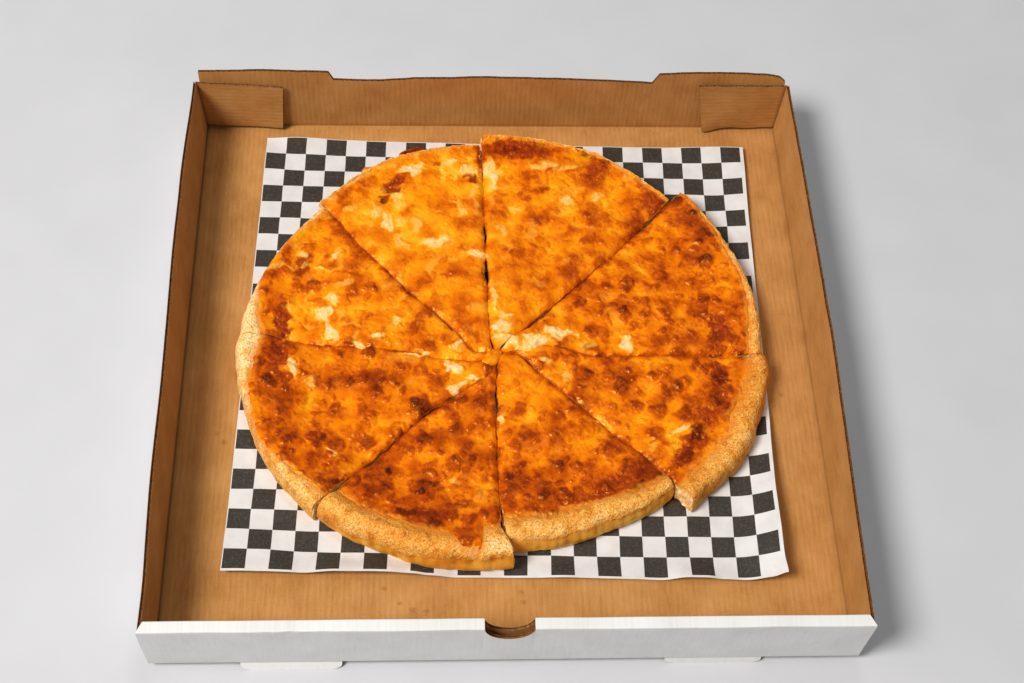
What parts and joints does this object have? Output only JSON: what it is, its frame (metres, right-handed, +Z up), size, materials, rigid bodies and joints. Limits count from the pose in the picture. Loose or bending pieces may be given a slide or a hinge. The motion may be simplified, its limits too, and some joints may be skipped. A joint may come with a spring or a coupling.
{
  "type": "sliced pizza in open takeaway tray",
  "caption": "Round cheese pizza cut into slices, lying on a sheet of checkered deli paper in an open folded corrugated tray with a rolled front wall and a thumb notch.",
  "frame": {"origin": "bottom centre of the tray as it stands", "axes": "+X to the tray's right, +Y to its back wall, +Z up"},
  "size_m": [0.3798, 0.3726, 0.053],
  "materials": {
    "board": "kraft inside, white outside, matte",
    "deli_paper": "white with a black check, slight wax sheen",
    "crust": "golden baked dough, grainy",
    "cheese": "melted browned cheese, oily gloss"
  },
  "bodies": {
    "root": {"tray": "board", "paper": "deli_paper", "dough_1": "crust", "dough_2": "crust", "dough_3": "crust", "dough_4": "crust", "dough_5": "crust", "dough_6": "crust", "dough_7": "crust", "dough_8": "crust", "cheese_1": "cheese", "cheese_2": "cheese", "cheese_3": "cheese", "cheese_4": "cheese", "cheese_5": "cheese", "cheese_6": "cheese", "cheese_7": "cheese", "cheese_8": "cheese"}
  },
  "joints": []
}
